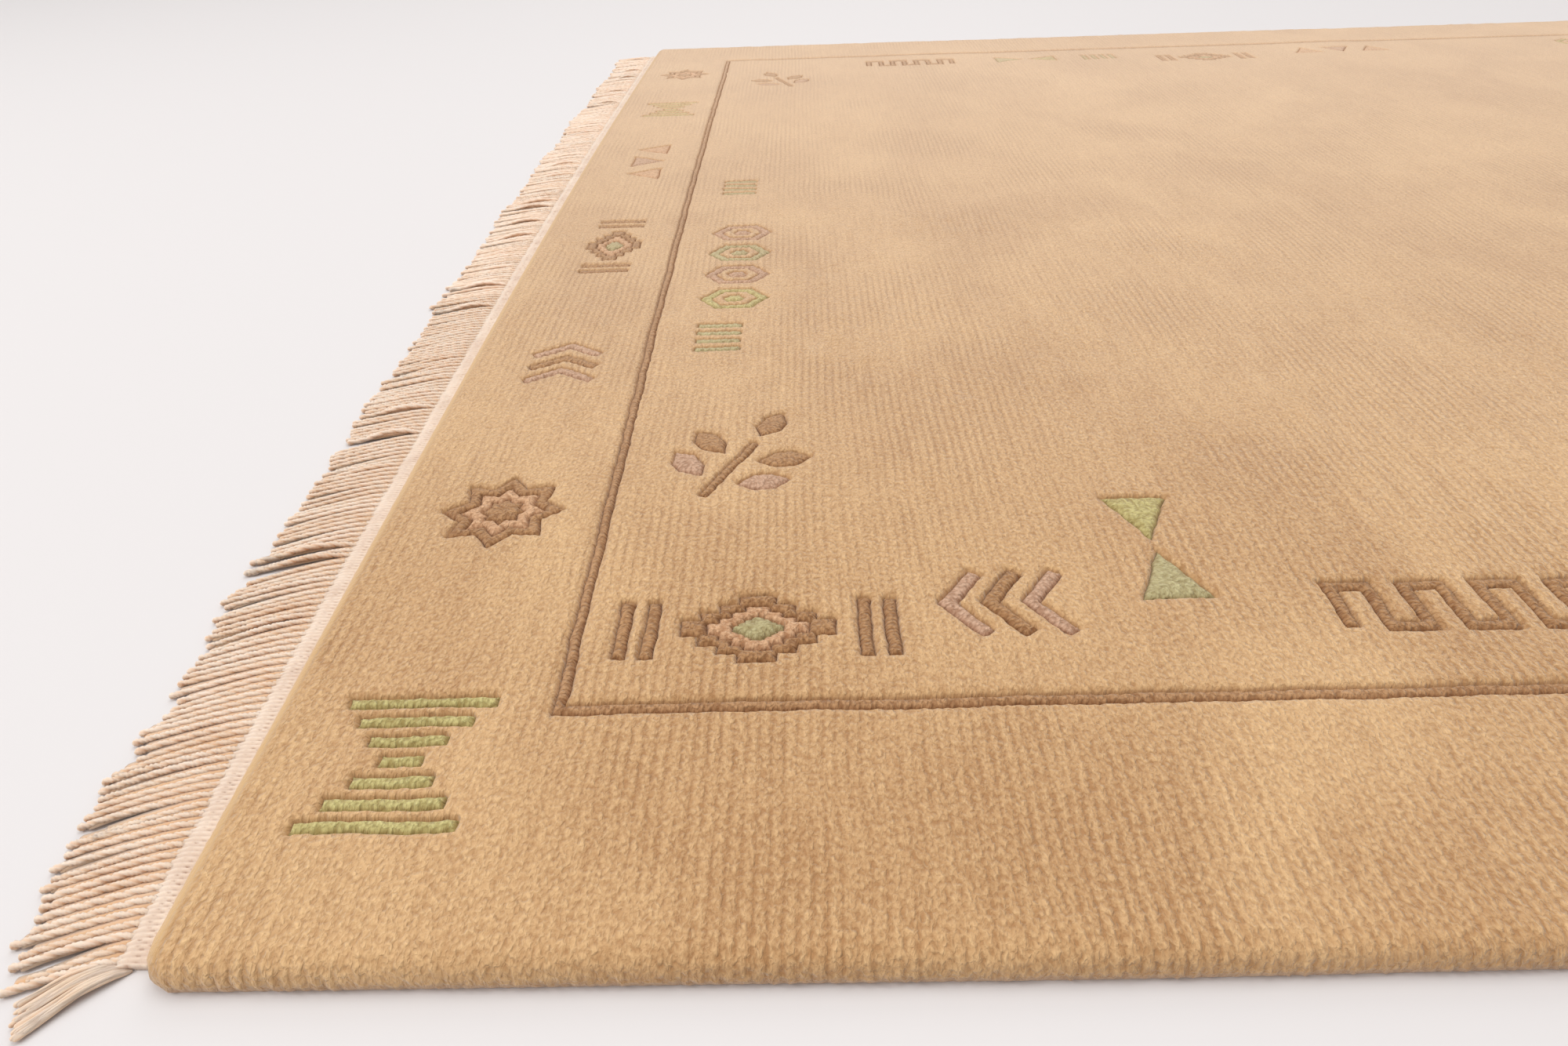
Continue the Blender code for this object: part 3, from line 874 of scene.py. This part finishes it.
def strip_mesh(name, half_turn, material):
    near_end = -strip_end + rib_pitch * fine_ribs
    across = np.arange(-strip_end, near_end, rib_pitch / 4)
    across = np.concatenate([across, np.arange(near_end, strip_end + rib_pitch / 4, rib_pitch / 2)])
    out = np.linspace(0.0, strip_width, 18)
    u, v = np.meshgrid(out, across, indexing="ij")
    # The edge runs out a little where each cord leaves it, and thins towards the cords
    towards_cords = eased(u, thins_from, strip_width)
    drawn_out = edge_scallop * towards_cords * np.cos(2 * math.pi * ((v + strip_end) / cord_pitch - 0.75))
    place = beside_pile(v.ravel(), (u + drawn_out).ravel())
    place[:, 1] -= (0.0004 * soft_noise(u, v, 0.008, 41)).ravel()
    ribs = np.cos(2 * math.pi * (v + strip_end) / rib_pitch)
    slots = np.zeros_like(u)
    for k, row in enumerate(slot_rows):
        shift = (v + strip_end) / rib_pitch + (k % 2) / 2
        uneven = np.random.default_rng(44 + k).uniform(0, 1, (2, 700))
        deep, aside = uneven[:, np.round(shift).astype(int)]
        between = np.maximum(0, np.cos(2 * math.pi * shift)) ** 2 * (0.15 + 0.95 * deep**2)
        slots += np.exp(-(((u - row - 0.0008 * (aside - 0.5)) / slot_reach) ** 2)) * between
    height = strip_top + rib_height * ribs - slot_depth * slots + 0.00022 * soft_noise(u, v, 0.0035, 42)
    height -= edge_drop * towards_cords
    top = np.column_stack([place, height.ravel()])
    rows, columns = u.shape
    index = np.arange(rows * columns).reshape(rows, columns)
    corners = (index[:-1, :-1], index[:-1, 1:], index[1:, 1:], index[1:, :-1])
    quads = [np.column_stack([corner.ravel() for corner in corners])]
    rim = np.concatenate([index[0, :-1], index[:-1, -1], index[-1, :0:-1], index[:0:-1, 0]])
    feet = len(top) + np.arange(len(rim))
    quads.append(np.column_stack([np.roll(rim, -1), rim, feet, np.roll(feet, -1)]))
    points = np.concatenate([top, top[rim] * (1, 1, 0)])
    faces = np.concatenate(quads).tolist() + [feet[::-1].tolist()]
    threads = np.column_stack([u.ravel(), v.ravel()])
    threads = np.concatenate([threads, threads[rim]])
    # Painted shade: the slots, the gaps between the ribs and the edge walls are painted towards tan
    hollow = np.clip(0.8 * slots + 0.12 * (1 - ribs), 0, 1).ravel()
    hollow = np.concatenate([hollow, np.full(len(rim), 0.3)])
    return cotton_piece(name, half_turn, material, points, faces, threads, hollow)


def cotton(name, lit, shaded, stretch):
    """Undyed cotton thread: painted cream where it is lit and tan as painted shade in its hollows, with the
    fine ridges of its fibres.
    """
    material, nodes, links, shader = new_material(name)
    places = nodes.new("ShaderNodeTexCoord")
    along = nodes.new("ShaderNodeMapping")
    along.inputs["Scale"].default_value = stretch
    threads = nodes.new("ShaderNodeTexNoise")
    threads.inputs["Scale"].default_value = 1500.0
    threads.inputs["Detail"].default_value = 3.0
    cloud = nodes.new("ShaderNodeTexNoise")
    cloud.inputs["Scale"].default_value = 90.0
    hollow = nodes.new("ShaderNodeAttribute")
    hollow.attribute_name = "hollow"
    spread = nodes.new("ShaderNodeMapRange")
    spread.inputs["From Min"].default_value = 0.3
    spread.inputs["From Max"].default_value = 0.7
    spread.inputs["To Min"].default_value = -0.12
    spread.inputs["To Max"].default_value = 0.16
    mixed = nodes.new("ShaderNodeMath")
    mixed.operation = "ADD"
    tone = nodes.new("ShaderNodeValToRGB")
    tone.color_ramp.elements[0].color = linear(*lit)
    tone.color_ramp.elements[1].color = linear(*shaded)
    ridges = nodes.new("ShaderNodeBump")
    ridges.inputs["Strength"].default_value = 0.5
    ridges.inputs["Distance"].default_value = 0.0003
    links.new(places.outputs["UV"], along.inputs["Vector"])
    links.new(along.outputs["Vector"], threads.inputs["Vector"])
    links.new(places.outputs["Object"], cloud.inputs["Vector"])
    links.new(cloud.outputs["Fac"], spread.inputs["Value"])
    links.new(spread.outputs["Result"], mixed.inputs[0])
    links.new(hollow.outputs["Fac"], mixed.inputs[1])
    links.new(mixed.outputs["Value"], tone.inputs["Fac"])
    links.new(tone.outputs["Color"], shader.inputs["Base Color"])
    links.new(threads.outputs["Fac"], ridges.inputs["Height"])
    links.new(ridges.outputs["Normal"], shader.inputs["Normal"])
    shader.inputs["Roughness"].default_value = 0.85
    shader.inputs["Specular IOR Level"].default_value = 0.2
    shader.inputs["Sheen Weight"].default_value = 0.2
    # Light goes a little way through the thread
    shader.inputs["Subsurface Weight"].default_value = 0.4
    shader.inputs["Subsurface Radius"].default_value = (1.0, 0.85, 0.7)
    shader.inputs["Subsurface Scale"].default_value = 0.0014
    return material


woven_cotton = cotton("woven_cotton", (226, 206, 187), (168, 130, 108), (1, 1, 1))
for side, half_turn in (("left", False), ("right", True)):
    strip = strip_mesh("flat_strip_" + side, half_turn, woven_cotton)
    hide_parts("fringe_" + side)


# The fringes
# The warp ends that leave each strip, twisted in twos into soft cords and cut by hand, with thin flat ends
# between them. They lie on the floor and lean one way. The last ones at one end of each strip are untwisted.

cord_count = int(2 * strip_end / cord_pitch)
cord_radius = 0.00132
ply_radius = 0.00112
half_twist = 0.0048
fringe_reach = 0.033
fringe_lean = 0.0150
tip_apart = 0.0027
new_cluster_share = 0.36
short_share = 0.05
crossing_share = 0.06
crossing_lift = 0.0018
plies_shown_to = -0.15
flat_ends_to = 0.15
loose_yarns = 22
loose_radius = 0.00080
loose_thickness = 0.0006
flat_end_radius = 0.0022
flat_end_thickness = 0.0006
flat_end_heights = (0.0007, 0.0011, 0.0013, 0.0013, 0.0013, 0.0012, 0.0011, 0.0010, 0.0008, 0.0007)
half_pair = [(1.0, 0.0), (0.6, 0.86), (0.0, 0.66), (-0.6, 0.86)]
ply_pair = half_pair + [(-wide, -thick) for wide, thick in half_pair]
plain_four = [(1.0, 0.0), (0.0, 1.0), (-1.0, 0.0), (0.0, -1.0)]
plain_six = [(1.0, 0.0), (0.6, 0.8), (-0.6, 0.8), (-1.0, 0.0), (-0.6, -0.8), (0.6, -0.8)]


def cord_route(start, lean, reach, steps, wave, lift, root=strip_width - 0.0032):
    """The middle line of a cord that drops from the strip to the floor and leans to the near side."""
    share = np.append(np.linspace(0, 0.965, steps - 1), (0.988, 1.0))
    place = beside_pile(np.full(steps + 1, start), root + (strip_width + reach - root) * share)
    place[:, 1] -= lean * (0.68 * share + 0.32 * share**2) + 0.0005 * np.sin(share * 5 + wave) * share
    height = 0.0005 + (cord_radius - 0.0004) * eased(share, 0.0, 0.2)
    return np.column_stack([place, height + lift * np.sin(math.pi * np.clip(share * 1.15, 0, 1)) ** 2])


def yarn_mesh(route, section, radius, ply, phase, twist, shade=0.15):
    """A yarn round its middle line, whose section turns as it goes: points, faces, a mask of painted shade
    and tone, and threads.
    """
    steps, count = len(route) - 1, len(section)
    along = np.gradient(route, axis=0)
    along /= np.linalg.norm(along, axis=1)[:, None]
    level = np.column_stack([-along[:, 1], along[:, 0], np.zeros(steps + 1)])
    level /= np.linalg.norm(level, axis=1)[:, None]
    upward = np.cross(along, level)
    run = np.concatenate([[0], np.cumsum(np.linalg.norm(np.diff(route, axis=0), axis=1))])
    turn = phase + math.pi * run / half_twist * twist
    size = np.ones(steps + 1)
    size[:2], size[-3:] = (0.5, 0.85), (1.06, 0.88, 0.4)
    rings, hollow = [], []
    for wide, thick in section:
        a, b = wide * radius * size, thick * ply * size
        side = a * np.cos(turn) - b * np.sin(turn)
        rise = a * np.sin(turn) + b * np.cos(turn)
        rings.append(route + level * side[:, None] + upward * rise[:, None])
        # Painted shade: the twist's hollows and the lower side are painted tan
        hollow.append(shade + (0.45 if wide == 0 else 0.0) + 0.6 * np.clip(0.15 - rise / radius, 0, 1))
    points = np.stack(rings, axis=1).reshape(-1, 3)
    points[:, 2] = np.maximum(points[:, 2], 0.00005)
    index = np.arange((steps + 1) * count).reshape(steps + 1, count)
    turned = np.roll(index, -1, axis=1)
    quads = np.stack([index[:-1], turned[:-1], turned[1:], index[1:]], axis=2).reshape(-1, 4)
    ends = [index[0, ::-1].tolist(), index[-1].tolist()]
    hollow = np.stack(hollow, axis=1)
    threads = np.column_stack([np.repeat(run, count), np.tile(np.arange(count) * 0.0012, steps + 1)])
    return points, quads.tolist() + ends, hollow.ravel(), threads


def joined_yarns(name, half_turn, material, yarns):
    points, hollow, threads = (np.concatenate([yarn[part] for yarn in yarns]) for part in (0, 2, 3))
    faces, first = [], 0
    for yarn in yarns:
        faces += [[vertex + first for vertex in face] for face in yarn[1]]
        first += len(yarn[0])
    return cotton_piece(name, half_turn, material, points, faces, threads, hollow)


def twisted_fringe(name, half_turn, material, seed):
    draw = np.random.default_rng(seed)
    starts = -strip_end + cord_pitch * (np.arange(cord_count) + 0.75)
    # Neighbours cling in small clusters: each tip is drawn part of the way to the middle of its cluster
    clusters = np.cumsum(draw.random(cord_count) < new_cluster_share)
    yarns, last_tip = [], -1.0
    for k, start in enumerate(starts):
        share = start / half_width / 2 + 0.5
        # By the near corner the cords are shorter and lie straighter
        whole = 0.62 + 0.38 * float(eased(start, -strip_end, -strip_end + 0.075))
        cling = (0.05 + 0.45 * share) * (starts[clusters == clusters[k]].mean() - start)
        group = np.random.default_rng(900 + clusters[k]).normal(0, 0.0007, 3)
        lean = fringe_lean * whole + 0.0016 * math.sin(41 * share + 1) - cling
        lean = lean + group[0] * 0.45 + draw.normal(0, 0.0003)
        reach = fringe_reach * whole**0.6 + 0.0014 * math.sin(53 * share)
        reach = reach + draw.normal(0, 0.0012) + group[1]
        if draw.random() < short_share:
            reach -= draw.uniform(0.002, 0.006)
        lift = abs(draw.normal(0, 0.0004))
        if draw.random() < crossing_share:
            # A few lie over their neighbours
            lift += crossing_lift
            lean += draw.uniform(-0.005, 0.005)
        else:
            # The others lie side by side
            lean = min(lean, start - last_tip - tip_apart)
            last_tip = start - lean
        close = not half_turn and start < plies_shown_to
        section, steps = (ply_pair, 32) if close else (plain_six, 22)
        wave = 800 * group[2] + draw.normal(0, 0.5)
        route = cord_route(start, lean, reach, steps, wave, lift)
        width, phase = cord_radius * draw.uniform(0.9, 1.06), draw.uniform(0, 3)
        shade = draw.uniform(-0.02, 0.24)
        yarns.append(yarn_mesh(route, section, width, ply_radius, phase, draw.uniform(0.9, 1.1), shade))
        if start > flat_ends_to:
            continue
        # Close by, a thin flat end shows in the gap before the next cord. It is wide and tan: partly a real
        # flat end, partly painted shade laid in the gap
        route = cord_route(start + cord_pitch / 2, lean + draw.normal(0, 0.0005), reach - 0.002, 9, wave, 0)
        route[:, 2] = flat_end_heights
        yarns.append(yarn_mesh(route, plain_four, flat_end_radius, flat_end_thickness, 0, 0, 0.4))
    return joined_yarns(name, half_turn, material, yarns)


def untwisted_ends(name, half_turn, material, seed):
    """The loose yarns that fan out from the strip's near end."""
    draw = np.random.default_rng(seed)
    yarns = []
    for share in np.linspace(0, 1, loose_yarns):
        start = -strip_end + 0.0022 - 0.0024 * share
        lean = 0.0125 + 0.0055 * share + draw.normal(0, 0.0011)
        reach = 0.0180 - 0.0060 * share + draw.uniform(-0.003, 0.002)
        root = strip_width - 0.0012 - 0.0045 * share
        route = cord_route(start, lean, reach, 14, draw.uniform(0, 6), draw.uniform(0, 0.0012), root)
        phase = draw.uniform(0, 3)
        yarns.append(yarn_mesh(route, plain_six, loose_radius, loose_thickness, phase, 0.15, 0.35))
    return joined_yarns(name, half_turn, material, yarns)


cord_cotton = cotton("cord_cotton", (240, 217, 197), (209, 165, 124), (0.25, 1, 1))
for side, half_turn in (("left", False), ("right", True)):
    cords = twisted_fringe("twisted_fringe_" + side, half_turn, cord_cotton, 51 + half_turn)
    loose = untwisted_ends("untwisted_ends_" + side, half_turn, cord_cotton, 61 + half_turn)
    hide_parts("fringe_" + side)
    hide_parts("fringe_" + side)


# The setting
# A plain pale floor, wide soft light from above, from the left and over the floor behind, and a camera low
# over the near left corner.

floor_white, nodes, links, shader = new_material("floor_white")
shader.inputs["Base Color"].default_value = linear(216, 212, 211)
shader.inputs["Roughness"].default_value = 0.6
bpy.ops.object.select_all(action="DESELECT")
bpy.ops.mesh.primitive_plane_add(size=14, location=(0, 0, 0))
floor = bpy.context.object
floor.name = "pale_floor"
floor.data.materials.append(floor_white)

world = bpy.data.worlds.new("studio")
bpy.context.scene.world = world
world.use_nodes = True
world.node_tree.nodes["Background"].inputs["Color"].default_value = (1.0, 0.985, 0.985, 1)
world.node_tree.nodes["Background"].inputs["Strength"].default_value = 0.66


def soft_light(name, place, aim, size, power):
    lamp = bpy.data.lights.new(name, "AREA")
    lamp.shape, lamp.size, lamp.energy = "DISK", size, power
    holder = bpy.data.objects.new(name, lamp)
    bpy.context.scene.collection.objects.link(holder)
    way = Vector(aim) - Vector(place)
    holder.matrix_world = Matrix.Translation(place) @ way.to_track_quat("-Z", "Y").to_matrix().to_4x4()


soft_light("window_left", (-2.9, -0.9, 2.2), (-0.4, -0.1, 0.0), 1.6, 37)
soft_light("overhead", (-0.2, 0.5, 3.6), (-0.2, 0.3, 0.0), 3.2, 54)
soft_light("overhead_far", (-0.4, 4.4, 3.4), (-0.4, 3.2, 0.0), 3.2, 36)

lens_place = Vector((-0.7446, -0.7564, 0.2392))
lens_right = Vector((0.99948908, 0.00786793, -0.03097877))
lens_up = Vector((0.0211553, 0.56369304, 0.82571339))
lens_back = Vector((0.02395918, -0.82594688, 0.56323859))
camera_data = bpy.data.cameras.new("camera")
camera_data.sensor_width = 36.0
camera_data.lens = 23.82
camera_data.clip_start = 0.01
camera = bpy.data.objects.new("camera", camera_data)
bpy.context.scene.collection.objects.link(camera)
turn = Matrix((lens_right, lens_up, lens_back)).transposed().to_4x4()
camera.matrix_world = Matrix.Translation(lens_place) @ turn
bpy.context.scene.camera = camera
bpy.context.scene.view_settings.view_transform = "Standard"
